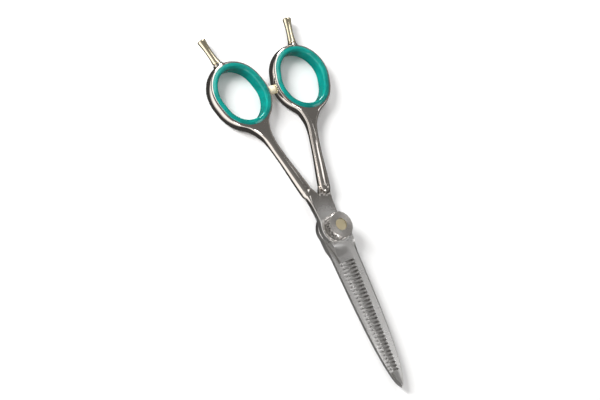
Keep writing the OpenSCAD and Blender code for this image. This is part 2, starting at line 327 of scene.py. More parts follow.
def noise(tree, scale, detail=3.0, stretch=(1, 1, 1)):
    """Noise in object coordinates. A stretch over 1 along an axis makes it finer that way."""
    where = node(tree, "ShaderNodeTexCoord").outputs["Object"]
    placed = node(tree, "ShaderNodeMapping", {"Vector": where, "Scale": stretch})
    made = node(tree, "ShaderNodeTexNoise", {"Vector": placed.outputs["Vector"], "Scale": scale,
                                             "Detail": detail})
    return made.outputs["Fac"]


def rings(tree, scale):
    """Turning marks about the pivot axis, where scale is in marks per metre."""
    where = node(tree, "ShaderNodeTexCoord").outputs["Object"]
    made = node(tree, "ShaderNodeTexWave", {"Vector": where, "Scale": scale * WAVE_SCALE,
                                            "Distortion": 0.8, "Detail": 3.0, "Detail Scale": 0.6},
                wave_type="RINGS", rings_direction="Z")
    return made.outputs["Fac"]


def between(tree, value, low, high, start=0.3, end=0.7):
    """From low to high while the value goes from start to end."""
    made = node(tree, "ShaderNodeMapRange", {"Value": value, "From Min": start, "From Max": end,
                                             "To Min": low, "To Max": high})
    return made.outputs["Result"]


def mixed(tree, factor, a, b):
    """A mix of two colours, each a constant or another node's output."""
    made = node(tree, "ShaderNodeMix", data_type="RGBA")
    tree.links.new(factor, made.inputs["Factor"])
    for name, value in (("A", a), ("B", b)):
        if isinstance(value, bpy.types.NodeSocket):
            tree.links.new(value, made.inputs[name])
        else:
            made.inputs[name].default_value = (*value, 1)
    return made.outputs["Result"]


def from_pivot(tree, start, end):
    """0 near the pivot axis and 1 far from it, with both distances in metres."""
    where = node(tree, "ShaderNodeTexCoord").outputs["Object"]
    level = node(tree, "ShaderNodeVectorMath", {0: where, 1: (1, 1, 0)}, operation="MULTIPLY")
    reach = node(tree, "ShaderNodeVectorMath", {0: level.outputs["Vector"]}, operation="LENGTH")
    return between(tree, reach.outputs["Value"], 0, 1, start, end)


def bump(tree, height, strength, distance, under=None):
    inputs = {"Height": height, "Strength": strength, "Distance": distance}
    if under is not None:
        inputs["Normal"] = under
    return node(tree, "ShaderNodeBump", inputs).outputs["Normal"]


def steel(name, light, dark, smooth, rough, grain_scale, stretch, grain, polished=None, **values):
    """Metal with smudges, and the grain of its last grinding or polish, or turning marks if stretch is
    None. Where polished gives a colour and a roughness, the metal changes to them away from the pivot."""
    made, tree, shader = material(name, Metallic=1.0, **values)
    smudge = noise(tree, SMUDGE_SCALE, 4)
    lines = noise(tree, grain_scale, 3, stretch) if stretch else rings(tree, grain_scale)
    specks = noise(tree, SPECK_SCALE, 2)
    colour = mixed(tree, between(tree, smudge, 0, 1), light, dark)
    patchy = between(tree, smudge, smooth, rough)
    streaky = between(tree, lines, -GRAIN_ROUGHNESS, GRAIN_ROUGHNESS)
    total = node(tree, "ShaderNodeMath", {0: patchy, 1: streaky}, operation="ADD").outputs[0]
    if polished:
        far = from_pivot(tree, POLISH_START, POLISH_END)
        colour = mixed(tree, far, colour, polished[0])
        total = node(tree, "ShaderNodeMix", {"Factor": far, "A": total, "B": polished[1]}).outputs["Result"]
    tree.links.new(colour, shader.inputs["Base Color"])
    tree.links.new(total, shader.inputs["Roughness"])
    fine = bump(tree, specks, SPECK_STRENGTH, SPECK_BUMP)
    tree.links.new(bump(tree, lines, grain, GRAIN_BUMP, fine), shader.inputs["Normal"])
    return made


def silicone(name, light, dark, rough, **values):
    """Moulded silicone: an even colour with faint clouding, and a very fine moulded skin. Where the dark
    colour is much darker, as on the teal, the clouding also paints blotchy dark reflections.
    """
    made, tree, shader = material(name, **values)
    cloud = noise(tree, CLOUD_SCALE, 3)
    skin = noise(tree, SKIN_SCALE, 2)
    tree.links.new(mixed(tree, between(tree, cloud, 0, 1), light, dark), shader.inputs["Base Color"])
    low, high = CLOUD_ROUGHNESS
    tree.links.new(between(tree, cloud, rough + low, rough + high), shader.inputs["Roughness"])
    tree.links.new(bump(tree, skin, SKIN_STRENGTH, SKIN_BUMP), shader.inputs["Normal"])
    return made


SATIN = (0.8, 0.79, 0.78), (0.75, 0.74, 0.73), 0.27, 0.34
BLADE = steel("blade_steel", *SATIN, 300, (1, 30, 1), 0.05)
HANDLE = steel("handle_steel", (0.66, 0.62, 0.585), (0.62, 0.58, 0.545), 0.09, 0.14, 1500, (3, 1, 3), 0.04)
TANG = steel("tang_steel", *SATIN, 1100, (9, 1, 1), 0.03, polished=((0.65, 0.61, 0.575), 0.12))
TURNED = steel("pivot_steel", (0.7, 0.69, 0.67), (0.66, 0.65, 0.63), 0.18, 0.24, 6000, None, 0.06)
DIAL = steel("dial_steel", (0.74, 0.71, 0.68), (0.72, 0.69, 0.66), 0.26, 0.3, 6500, None, 0.12,
             Anisotropic=0.5)
SPRING = steel("spring_steel", (0.5, 0.5, 0.52), (0.46, 0.46, 0.48), 0.22, 0.32, 2500, (1, 1, 1), 0.1)
GOLD = steel("pale_gold", (0.97, 0.89, 0.66), (0.95, 0.86, 0.62), 0.13, 0.17, 1800, (1, 1, 3), 0.03)
SCREW = steel("screw_gold", (0.97, 0.86, 0.58), (0.95, 0.82, 0.53), 0.33, 0.38, 7500, None, 0.06)
BRASS = steel("bush_brass", (0.78, 0.6, 0.32), (0.7, 0.52, 0.26), 0.2, 0.3, 2500, (1, 1, 1), 0.1)
# The teal's dark second colour is partly painted reflection: its clouded dark patches stand in for dark
# surroundings reflected in the glossy lip, on top of the silicone's own faint clouding.
TEAL = silicone("teal_silicone", (0.0, 0.27, 0.23), (0.0, 0.16, 0.14), 0.1, Subsurface_Weight=0.4,
                Subsurface_Scale=0.0025, Subsurface_Radius=(0.02, 1.0, 0.85), Specular_IOR_Level=0.25,
                Coat_Weight=0.75, Coat_Roughness=0.04)
CREAM = silicone("cream_silicone", (0.86, 0.78, 0.58), (0.78, 0.7, 0.5), 0.4, Subsurface_Weight=0.2,
                 Subsurface_Scale=0.001, Subsurface_Radius=(1.0, 0.8, 0.5))
ACETAL = silicone("white_acetal", (0.85, 0.85, 0.82), (0.8, 0.8, 0.77), 0.4)


# ---- Handles, each in its half's own frame, with its shank along -Y ----

SHANK_END = 50.0             # the distances are from the pivot
WEB_END = 55.4
WEB_RISE_START = 38.0        # where the web starts to thicken to the ring's thickness
WEB_RISE_LEN = 12.0
BOSS_START = 75.0
WEB_END_ROUND = 1.0
WEB_INSET = 0.4              # the web stops this far outside the ring's bore
WEB_FILLET = 0.6
RING_FILLET = 1.3
BOSS_FILLET = 0.9
RIM_ROUND = 0.6
EDGE_ROUND = 0.3
WELD_OVERLAP = 0.1
HANDLE_BOX = (-15.5, -79.0, -2.9), (15.5, -17.4, 2.9)
HANDLE_STEP = 0.25 * COARSE

# Half-width of the handle's web against the distance from the pivot
GUSSET_EDGE = np.concatenate([
    bezier([[0.0, 33.0], [0.7, 36.0], [1.35, 39.0], [1.9, 42.0]], np.linspace(0, 1, 60, endpoint=False)),
    bezier([[1.9, 42.0], [2.42, 44.8], [3.7, 48.1], [7.8, 52.4]], np.linspace(0, 1, 120, endpoint=False)),
    bezier([[7.8, 52.4], [8.7, 53.35], [9.2, 54.4], [9.5, 56.0]], np.linspace(0, 1, 40)),
])
GUSSET_LEAN = np.gradient(GUSSET_EDGE[:, 0], GUSSET_EDGE[:, 1])


def ring_reach(x, y):
    """How far points lie from the ring's middle, or from the short straight at the middle of its oval."""
    centre_x = -RING_DIST * math.sin(math.radians(RING_IN))
    centre_y = -RING_DIST * math.cos(math.radians(RING_IN))
    turn = math.radians(RING_CANT - RING_IN)
    rx = (x - centre_x) * math.cos(turn) + (y - centre_y) * math.sin(turn)
    ry = -(x - centre_x) * math.sin(turn) + (y - centre_y) * math.cos(turn)
    return np.hypot(rx, np.maximum(np.abs(ry) - RING_STRETCH / 2, 0))


def ring_distance(reach, z):
    """A ring with a bulging outer side, flat faces and a plain bore."""
    bulge = np.hypot(reach - RING_R + RIM_BULGE_R, z) - RIM_BULGE_R
    ring = smooth_max(bulge, np.abs(z) - RIM_HALF_T, RIM_ROUND)
    return smooth_max(ring, RIM_IN_R - reach, EDGE_ROUND)


def web_distance(x, along, z):
    """The flat web that widens from the shank to the ring, with rounded edges."""
    half_w = np.interp(along, GUSSET_EDGE[:, 1], GUSSET_EDGE[:, 0])
    lean = np.interp(along, GUSSET_EDGE[:, 1], GUSSET_LEAN)
    half_t = SLIM_R + (RIM_HALF_T - SLIM_R) * eased((along - WEB_RISE_START) / WEB_RISE_LEN)
    side = (np.abs(x) - half_w) / np.sqrt(1 + lean ** 2) + WEB_EDGE_R
    face = np.abs(z) - half_t + WEB_EDGE_R
    outside = np.hypot(np.maximum(side, 0), np.maximum(face, 0))
    web = outside + np.minimum(np.maximum(side, face), 0) - WEB_EDGE_R
    return smooth_max(web, along - WEB_END, WEB_END_ROUND)


def boss_distance(x, y, z):
    """The short boss at the ring's end, which a finger rest screws into."""
    line = math.radians(RING_IN)
    across = x * math.cos(line) - y * math.sin(line)
    along = -(x * math.sin(line) + y * math.cos(line))
    boss = smooth_max(np.hypot(across, z) - BOSS_R, along - REST_START, EDGE_ROUND)
    return np.maximum(boss, BOSS_START - along)


def handle_distance(points):
    """Distance to the comb half's handle, with z = 0 in its middle plane."""
    x, y, z = points.T
    along = -y
    reach = ring_reach(x, y)
    radius = SHANK_R + (SLIM_R - SHANK_R) * eased((along - WELD_DIST) / (SLIM_DIST - WELD_DIST))
    shank = np.maximum(np.hypot(x, z) - radius, along - SHANK_END)
    body = smooth_min(shank, web_distance(x, along, z), WEB_FILLET)
    body = np.maximum(body, RIM_IN_R + WEB_INSET - reach)
    total = smooth_min(body, ring_distance(reach, z), RING_FILLET)
    total = smooth_max(total, np.abs(z) - RIM_HALF_T, EDGE_ROUND)
    total = smooth_min(total, boss_distance(x, y, z), BOSS_FILLET)
    return np.maximum(total, WELD_DIST - WELD_OVERLAP - along)


points, faces, normals = surface_net(handle_distance, *HANDLE_BOX, HANDLE_STEP)
for side in (COMB, CUTTING):
    new_piece(f"{NAME[side]}_handle_steel", half_place(turned(points, SPREAD), side), faces,
              HANDLE, BODY[side], [f"{NAME[side]}_handle"],
              half_turn(turned(normals, SPREAD), side))


# ---- Tangs: each half's boss and tail, in its own frame, with its tail along -Y ----

TAIL_WIDTH = np.array([[0, 5.2], [4, 4.55], [8, 3.75], [12, 3.05], [15, 2.62], [18, SHANK_R]])
TAIL_FIT = np.polyfit(TAIL_WIDTH[:, 0], TAIL_WIDTH[:, 1], 4)
TAIL_REACH = np.linspace(0, WELD_DIST, 181)
TAIL_HALF_W = np.polyval(TAIL_FIT, TAIL_REACH)
TAIL_FILLET = 1.6
CONE_R = 8.0         # radius at the pivot of the cone that takes the flat tail down to the round weld
CONE_SLOPE = 1.05
CONE_ROUND = 0.6
BAR_START = 14.6     # the round bar at the weld, with a domed end towards the pivot
DOME_END = 17.2
DOME_LEN = 2.6
BAR_FILLET = 1.0
TANG_BOX = (-6.9, -18.6, -2.9), (6.9, 6.9, 2.9)
TANG_STEP = 0.2 * COARSE
TANG_HOLES = ((COMB, 3.01, 0), (CUTTING, 2.3, 4.03))     # radius of the hole and of its counterbore


def tang_distance(points, hole_r, counterbore_r):
    """Distance to a half's boss and tail, with z = 0 on the blades' middle plane."""
    x, y, z = points.T
    along = -y
    from_axis = np.hypot(x, y)
    plan = np.maximum(np.abs(x) - np.interp(along, TAIL_REACH, TAIL_HALF_W), -along)
    plan = smooth_min(plan, from_axis - PIVOT_BOSS_R, TAIL_FILLET)
    flat = np.abs(z - (RUN_GAP + HALF_T) / 2) - HALF_T / 2
    half = smooth_max(plan, flat, EDGE_ROUND)
    cone = (np.hypot(x, z) - np.interp(along, [0, WELD_DIST], [CONE_R, SHANK_R])) / CONE_SLOPE
    half = smooth_max(half, cone, CONE_ROUND)
    dome = np.sqrt(np.clip(1 - (np.maximum(DOME_END - along, 0) / DOME_LEN) ** 2, 0.0001, 1))
    bar = np.maximum(np.hypot(x, z) - SHANK_R * dome, BAR_START - along)
    total = smooth_min(half, bar, BAR_FILLET)
    total = np.maximum(total, z - RUN_GAP / 2 - HALF_T)
    total = np.maximum(total, cone)
    total = np.maximum(total, hole_r - from_axis)
    if counterbore_r:
        total = np.maximum(total, np.minimum(counterbore_r - from_axis, z - COUNTERBORE_Z))
    return np.maximum(total, along - WELD_DIST - WELD_OVERLAP)


for side, hole_r, counterbore_r in TANG_HOLES:
    points, faces, normals = surface_net(
        lambda p: tang_distance(p, hole_r, counterbore_r), *TANG_BOX, TANG_STEP)
    new_piece(f"{NAME[side]}_tang_steel", half_place(turned(points, SPREAD), side), faces,
              TANG, BODY[side], [f"{NAME[side]}_blade"],
              half_turn(turned(normals, SPREAD), side))


# ---- Blades, each in its half's own frame, with its spine on the -X side ----

BLADE_LEN = 66.0
TOOTH_COUNT = 30
TOOTH_PITCH = 1.5
SLOT_W = 0.82
LAST_TOOTH = BLADE_LEN - 8
FIRST_TOOTH = LAST_TOOTH - (TOOTH_COUNT - 1) * TOOTH_PITCH
TOOTH_X = 3.3, 1.9           # the first and the last tooth's tip
SLOT_X = -1.9, -0.7          # the first and the last slot's root
TOOTH_FLAT = 0.43            # half a tooth's tip, over the width left between two slots
NOTCH = ((0.06, 1.0), (0.0, 0.72), (0.16, 0.18))     # depth under the tip, and place from its middle

HEEL_Y = 2.2                 # where the face mesh starts
BLADE_STEP_DOWN = 0.12
BLADE_EDGE = 0.05            # the chamfer round each face
TAPER = math.tan(math.radians(1.1))
TAPER_START = 9.0
SPINE_T = 1.2                # thickness left at the spine
SPINE_RISE = math.tan(math.radians(42))
RUNOUT_START = 6.0           # where the ground bevels start, and how long they take to reach full depth
RUNOUT_LEN = 5.0
THINNEST = 0.1
EDGE_CREST_ROUND = 0.2
SPINE_CREST_ROUND = 0.12
HOLLOW_DEPTH = 0.1
HOLLOW_X = -1.4              # the hollow's middle
HOLLOW_HALF_W = 2.4
INNER_GAP = 0.02
LONGEST_SIDE = 0.9
SMOOTH_CORNER = 0.85         # cosine of the sharpest corner of the outline that is shaded smooth
SHARPEST_MITRE = 0.4         # keeps the chamfer from running out into a spike at a sharp corner
CHAMFER_SHARE = 0.3          # the most of the blade's thickness that one chamfer takes
ROW_SPACING = 0.5            # spacings and clearances of the points that the faces are made from
ROW_CLEARANCE = 0.12
GRID_SPACING = 0.45, 0.75
GRID_CLEARANCE = 0.25

COMB_HEEL = [[5.9, 1.8], [5.6, 4.6], [4.2, 7], [3.6, FIRST_TOOTH - (TOOTH_PITCH + SLOT_W) / 2 - 1.5]]
COMB_SPINE = [[-6.0, 2], [-5.1, 0.4 * BLADE_LEN], [-5.4, 0.9 * BLADE_LEN], [0.9, BLADE_LEN]]
CUT_HEEL = [[5.9, 1.8], [5.6, 4.8], [3.6, 9], [2.4, 14]]
CUT_SPINE = [[-6.0, 2], [-5.3, 0.4 * BLADE_LEN], [-5.3, 0.9 * BLADE_LEN], [0.1, BLADE_LEN + 0.4]]
CUT_EDGE = [[0.1, BLADE_LEN + 0.4], [1.5, 0.8 * BLADE_LEN], [2.2, 0.4 * BLADE_LEN], [2.4, 14]]


def along_teeth(y, ends):
    """A value that goes from ends[0] at the first tooth to ends[1] at the last."""
    return ends[0] + (ends[1] - ends[0]) * (y - FIRST_TOOTH) / (LAST_TOOTH - FIRST_TOOTH)


def comb_outline():
    """The comb blade's front from its heel, over the teeth, to the tip, and its spine on the way back."""
    heel = FIRST_TOOTH - (TOOTH_PITCH + SLOT_W) / 2
    nose = LAST_TOOTH + (TOOTH_PITCH + SLOT_W) / 2
    points = list(bezier(COMB_HEEL, np.linspace(0, 1, 12)))
    points.append((3.45, heel))
    angles = np.radians(np.linspace(270, 90, 11))
    radius = SLOT_W / 2
    half_tip = (TOOTH_PITCH - SLOT_W) * TOOTH_FLAT
    for i in range(-1, TOOTH_COUNT):
        y = FIRST_TOOTH + i * TOOTH_PITCH
        if i >= 0:
            x = along_teeth(y, TOOTH_X)
            points += [(x - depth, y - half_tip * place) for depth, place in NOTCH]
            points += [(x - depth, y + half_tip * place) for depth, place in NOTCH[::-1]]
        middle = y + TOOTH_PITCH / 2
        root = along_teeth(middle, SLOT_X) + radius
        points += [(root + radius * math.cos(a), middle + radius * math.sin(a)) for a in angles]
    points += [(1.9, nose), (1.75, nose + 2.6)]
    return np.array(points), bezier(COMB_SPINE, np.linspace(1, 0, 60))


def tooth_line():
    """The line over the tips of the teeth and on to the end of the blade."""
    y = np.linspace(FIRST_TOOTH - 2, BLADE_LEN, 60)
    return np.stack([along_teeth(y, TOOTH_X), y], 1)


def cutting_outline():
    """The cutting blade's front from its heel to the tip, and its spine on the way back."""
    heel = bezier(CUT_HEEL, np.linspace(0, 1, 16, endpoint=False))
    front = np.concatenate([heel, bezier(CUT_EDGE, np.linspace(1, 0.02, 60))])
    return front, bezier(CUT_SPINE, np.linspace(1, 0, 60))


def round_tip(front, spine, reach=0.7):
    """Joins the front and the spine with a small round tip where their last points meet."""
    tip = spine[0]
    front = front[np.linalg.norm(front - tip, axis=1) > reach]
    spine = spine[np.linalg.norm(spine - tip, axis=1) > reach]
    t = np.linspace(0, 1, 9)[1:-1, None]
    arc = (1 - t) ** 2 * front[-1] + 2 * t * (1 - t) * tip + t ** 2 * spine[0]
    return np.concatenate([front, arc, spine])


def divided(outline):
    """A closed outline with no side over the longest one allowed."""
    out = []
    for p, q in zip(outline, np.roll(outline, -1, axis=0)):
        parts = max(1, int(np.ceil(np.linalg.norm(q - p) / LONGEST_SIDE)))
        out += [p + (q - p) * k / parts for k in range(parts)]
    return np.array(out)


def side_normals(outline):
    """For each point of a closed outline, the inward normals of the side after it and the one before."""
    ahead = np.roll(outline, -1, axis=0) - outline
    ahead /= np.linalg.norm(ahead, axis=1)[:, None]
    after = np.stack([-ahead[:, 1], ahead[:, 0]], 1)
    return after, np.roll(after, 1, axis=0)


def inside(point, loop):
    """Whether a point is inside a closed loop of points."""
    a, b = loop, np.roll(loop, -1, axis=0)
    crosses = (a[:, 1] > point[1]) != (b[:, 1] > point[1])
    a, b = a[crosses], b[crosses]
    at_x = a[:, 0] + (point[1] - a[:, 1]) * (b[:, 0] - a[:, 0]) / (b[:, 1] - a[:, 1])
    return (at_x > point[0]).sum() % 2 == 1


def nearest(points, others):
    """Each point's distance to the nearest of the others."""
    return np.array([np.sqrt(((others - p) ** 2).sum(1).min()) for p in points])


def up_normals(height, points, step=0.02):
    """The upward normals of a height over the plane."""
    slope_x = height(points + (step, 0)) - height(points - (step, 0))
    slope_y = height(points + (0, step)) - height(points - (0, step))
    return np.column_stack([-slope_x, -slope_y, np.full(len(points), 2 * step)])


def flat_height(y):
    """The blade's thickness before its bevels are ground, which falls towards the tip."""
    return HALF_T - BLADE_STEP_DOWN - TAPER * np.maximum(y - TAPER_START, 0)


def hollow_height(points):
    """The inner face, which is slightly hollow between its two edges."""
    x, y = points.T
    fade = np.clip((y - 6) / 6, 0, 1) * np.clip((60 - y) / 10, 0, 1)
    hollow = np.clip(1 - ((x - HOLLOW_X) / HOLLOW_HALF_W) ** 2, 0, 1)
    return RUN_GAP / 2 + INNER_GAP + HOLLOW_DEPTH * fade * hollow


def ground_height(edge, spine, edge_t, edge_rise):
    """The outer face's height as a function of points, with a bevel down to the edge and another to the
    spine. Both are lines of points from the heel to the tip."""
    def height(points):
        x, y = points.T
        base = flat_height(y)
        from_edge = np.interp(y, edge[:, 1], edge[:, 0]) - x
        from_spine = x - np.interp(y, spine[:, 1], spine[:, 0])
        ground = smooth_min(base, edge_t + edge_rise * from_edge, EDGE_CREST_ROUND)
        ground = smooth_min(ground, SPINE_T + SPINE_RISE * from_spine, SPINE_CREST_ROUND)
        runout = eased((y - RUNOUT_START) / RUNOUT_LEN)
        return RUN_GAP / 2 + np.maximum(base + (ground - base) * runout, THINNEST)
    return height


def face_points(ring, edge, spine, edge_t, edge_rise):
    """Points inside a ring for a blade's faces: on both sides of each bevel's crest, and on a grid."""
    y = np.arange(HEEL_Y, BLADE_LEN, ROW_SPACING)
    spine_crest = np.interp(y, spine[:, 1], spine[:, 0]) + (flat_height(y) - SPINE_T) / SPINE_RISE
    edge_crest = np.interp(y, edge[:, 1], edge[:, 0]) - (flat_height(y) - edge_t) / edge_rise
    rows = [np.stack([spine_crest + offset, y], 1) for offset in (-0.2, -0.07, 0.07, 0.2)]
    rows += [np.stack([edge_crest + offset, y], 1) for offset in (-0.3, 0.3)]
    rows = np.array([p for p in np.concatenate(rows) if inside(p, ring)])
    rows = rows[nearest(rows, ring) > ROW_CLEARANCE]
    across, along = GRID_SPACING
    xs, ys = np.arange(-5.8, 5.8, across), np.arange(HEEL_Y, BLADE_LEN, along)
    grid = np.stack(np.meshgrid(xs, ys, indexing="ij"), -1).reshape(-1, 2)
    grid = grid[(nearest(grid, ring) > GRID_CLEARANCE) & (nearest(grid, rows) > GRID_CLEARANCE)]
    return np.concatenate([rows, grid])


def triangulated(ring, points):
    """The area in a closed ring, with points in it: all the points, the triangles, and the place of each
    of the ring's points among them."""
    n = len(ring)
    corners = [Vector(p) for p in np.concatenate([ring, points])]
    made = delaunay_2d_cdt(corners, [(i, (i + 1) % n) for i in range(n)], [list(range(n))], 1, 1e-6)
    flat = np.array([tuple(v) for v in made[0]])
    place = {old: new for new, origin in enumerate(made[3]) for old in origin}
    triangles = []
    for face in made[2]:
        a, b, c = flat[face[0]], flat[face[1]], flat[face[2]]
        turn = (b[0] - a[0]) * (c[1] - a[1]) - (b[1] - a[1]) * (c[0] - a[0])
        triangles.append(list(face) if turn > 0 else list(face)[::-1])
    return flat, triangles, place


def blade(side, front, spine, edge, edge_t, edge_slope):
    """A ground blade: a bevelled outer face, a slightly hollow inner face, and a side all round that is
    chamfered at both. Each corner of each face has its own normal, so that the bevels stay crisp."""
    edge_rise = math.tan(math.radians(edge_slope))
    outer = ground_height(edge, spine[::-1], edge_t, edge_rise)
    outline = divided(round_tip(front, spine))
    after, before = side_normals(outline)
    alike = (after * before).sum(1)
    ring = outline + (after + before) / np.maximum(1 + alike, SHARPEST_MITRE)[:, None] * BLADE_EDGE
    flat, triangles, place = triangulated(ring, face_points(ring, edge, spine[::-1], edge_t, edge_rise))

    count, n = len(flat), len(ring)
    chamfer = np.minimum(BLADE_EDGE, (outer(outline) - hollow_height(outline)) * CHAMFER_SHARE)
    points = np.concatenate([
        np.column_stack([flat, outer(flat)]),
        np.column_stack([flat, hollow_height(flat)]),
        np.column_stack([outline, outer(outline) - chamfer]),
        np.column_stack([outline, hollow_height(outline) + chamfer])])
    faces = triangles + [[v + count for v in f[::-1]] for f in triangles]
    top_normals, low_normals = up_normals(outer, flat), -up_normals(hollow_height, flat)
    normals = [top_normals[f] for f in triangles] + [low_normals[f[::-1]] for f in triangles]

    smooth = alike > SMOOTH_CORNER
    average = -(after + before)
    average /= np.linalg.norm(average, axis=1)[:, None]
    for i in range(n):
        k = (i + 1) % n
        high_i, high_k = 2 * count + i, 2 * count + k
        low_i, low_k = high_i + n, high_k + n
        faces += [[place[i], high_i, high_k, place[k]], [high_i, low_i, low_k, high_k],
                  [low_i, place[i] + count, place[k] + count, low_k]]
        start = np.append(average[i] if smooth[i] else -after[i], 0)
        end = np.append(average[k] if smooth[k] else -after[i], 0)
        for lean in (1, 0, -1):
            tilt = np.array((0, 0, lean))
            normals.append(np.array([start + tilt, start + tilt, end + tilt, end + tilt]))

    obj = new_piece(f"{NAME[side]}_blade_steel", half_place(points, side), faces, BLADE, BODY[side],
                    [f"{NAME[side]}_blade"])
    loops = half_turn(np.concatenate(normals), side)
    loops /= np.linalg.norm(loops, axis=1)[:, None]
    obj.data.normals_split_custom_set(loops.tolist())


blade(COMB, *comb_outline(), tooth_line(), edge_t=1.0, edge_slope=15.5)
cutting_front, cutting_spine = cutting_outline()
cutting_edge = cutting_front[np.argsort(cutting_front[:, 1])]
blade(CUTTING, cutting_front, cutting_spine, cutting_edge, edge_t=0.1, edge_slope=31)


# ---- Ring inserts ----

LIP_UNDER_Z = RIM_HALF_T - 0.09      # the lip's lower side, just inside the ring's face
BORE_R = RIM_IN_R - 0.01
UPPER_CORNERS = [
    (HOLE_R, 0, 0), (HOLE_R, INSERT_HALF_T - 0.15, 0.9), (HOLE_R + 0.75, INSERT_HALF_T, 0.8),
    (LIP_R - 0.75, INSERT_HALF_T - 0.03, 0.9), (LIP_R - 0.1, INSERT_HALF_T - 0.26, 0.2),
    (LIP_R, RIM_HALF_T + 0.05, 0.06), (LIP_R - 0.12, LIP_UNDER_Z, 0), (BORE_R, LIP_UNDER_Z, 0),
    (BORE_R, 0, 0),
]
upper = rounded(UPPER_CORNERS, 6)[:-1]
lower = rounded(UPPER_CORNERS, 6)[1:-1][::-1] * (1, -1)
insert_points, insert_faces = swept(np.concatenate([upper, lower]), oval_path, True, True)

for side in (COMB, CUTTING):
    points = turned(insert_points, side * RING_CANT) + (0, -RING_DIST, MID_Z)
    new_piece(f"{NAME[side]}_insert_silicone", turned(points, side * (SPREAD - RING_IN)), insert_faces,
              TEAL, BODY[side], [f"{NAME[side]}_ring_insert"])


# ---- Finger rests ----

STUD_R = 0.8
STUD_LEN = 2.0
REST_END_R = 0.6         # the rounding of the rest's far end


def rest_profile():
    """A finger rest's (r, z) from its stud, over a small collar and the waist, to its rounded end."""
    body = REST_LEN - REST_END_R
    shape = [(0, -STUD_LEN), (STUD_R - 0.05, -STUD_LEN), (STUD_R, 0.1 - STUD_LEN), (STUD_R, 0.02),
             (1.3, 0.02), (1.38, 0.08), (1.38, 0.3), (1.5, 0.38), (REST_R - 0.04, 0.42), (REST_R, 0.48)]
    for t in np.linspace(0.05, 1, 28):
        shape.append((WAIST_R + (REST_R - WAIST_R) * (2 * t - 1) ** 2, t * body))
    for a in np.radians(np.linspace(15, 90, 6)):
        shape.append((REST_R - REST_END_R * (1 - math.cos(a)), body + REST_END_R * math.sin(a)))
    return shape + [(0.7, REST_LEN), (0, REST_LEN)]


rest_points, rest_faces = lathe(rest_profile())
for side in (COMB, CUTTING):
    lying = np.stack([rest_points[:, 0], -REST_START - rest_points[:, 2], rest_points[:, 1] + MID_Z], 1)
    new_piece(f"{NAME[side]}_rest_gold", turned(lying, side * (SPREAD - RING_IN)), rest_faces, GOLD,
              f"{NAME[side]}_finger_rest", [f"{NAME[side]}_finger_rest"])


# ---- Bumper ----

PEG_LEN = 1.1            # the part of the seat that is pressed into the ring
seat_low, seat_high = (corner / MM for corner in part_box("bumper_seat"))
pad_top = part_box("bumper_pad")[1].x / MM - seat_low.x - PEG_LEN


def bumper(name, profile, made_of, replaced):
    """A turned piece that points along +X, with z = 0 in its profile on the ring's outer side."""
    local, faces = lathe(profile)
    base = Vector((seat_low.x + PEG_LEN, (seat_low.y + seat_high.y) / 2, MID_Z))
    points = np.stack([local[:, 2] + base.x, local[:, 1] + base.y, -local[:, 0] + base.z], 1)
    new_piece(name, points, faces, made_of, "cutting_half", [replaced])


bumper("bumper_seat_gold",
       rounded([(0, -PEG_LEN, 0), (0.9, -PEG_LEN, 0.1), (0.9, 0, 0), (2.0, 0, 0.05), (2.0, 0.8, 0.2),
                (1.6, 0.8, 0), (0, 0.8, 0)]),
       GOLD, "bumper_seat")
bumper("bumper_pad_silicone",
       rounded([(0, 0.3, 0), (1.3, 0.3, 0), (1.55, 0.8, 0.1), (1.7, 1.1, 0.3), (1.7, pad_top, 0.5),
                (0, pad_top, 0)]),
       CREAM, "bumper_pad")


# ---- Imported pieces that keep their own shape, and the replaced ones' materials ----

def dress(name, made_of, edge=None):
    """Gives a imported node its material, and small rounded edges where edge gives their width."""
    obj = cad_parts[name]
    for slot in obj.material_slots:
        slot.material = made_of
    if edge is None:
        return
    weld = obj.modifiers.new("weld", "WELD")
    weld.merge_threshold = 2e-6
    flat = obj.modifiers.new("flat", "DECIMATE")
    flat.decimate_type = "DISSOLVE"
    flat.angle_limit = math.radians(1)
    soft = obj.modifiers.new("soft", "BEVEL")
    soft.width = edge * MM
    soft.segments = 2
    soft.limit_method = "ANGLE"
    soft.angle_limit = math.radians(28)
    soft.harden_normals = True


dress("pivot_bolt", TURNED, 0.08)
dress("pivot_bush", BRASS, 0.05)
dress("ride_washer", ACETAL, 0.02)
dress("thrust_washer", ACETAL, 0.02)
dress("dish_spring", SPRING, 0.02)
dress("click_plate", TURNED, 0.02)
dress("lock_screw", SCREW, 0.06)
dress("tension_dial", DIAL, 0.08)
dress("detent_balls", TURNED)
dress("detent_springs", SPRING)
dress("bumper_seat", GOLD)
dress("bumper_pad", CREAM)
for half in NAME.values():
    dress(f"{half}_blade", BLADE)
    dress(f"{half}_handle", HANDLE)
    dress(f"{half}_ring_insert", TEAL)
    dress(f"{half}_finger_rest", GOLD)


# ---- Floor, light and camera ----

FLOOR_SIZE = 1.5         # half its width, in metres
FLOOR_Z = -5e-5
PICTURE_SIZE = 600, 400
MARGIN = 1.07            # the picture's height over the height of the shears in it
LENS, SENSOR = 135, 36

# The photographed view: the direction from the shears to the camera, and the way up in the picture
VIEW_BACK = Vector((0.587, 0.146, 0.796)).normalized()
VIEW_UP = Vector((-0.246, -0.905, 0.347))
VIEW_RIGHT = VIEW_UP.cross(VIEW_BACK).normalized()
VIEW_UP = VIEW_BACK.cross(VIEW_RIGHT)

# World brightness against the angle from the camera's side of the horizon, up and over, in degrees
WORLD_LEVELS = ((-180, 0.08), (-48, 0.06), (-35, 0.7), (-27, 1.6), (14, 1.6), (27, 0.3), (70, 0.2),
                (148, 0.17), (160, 0.42), (170, 0.42), (180, 0.06))
WORLD_TINT = 1.0, 0.98, 0.95

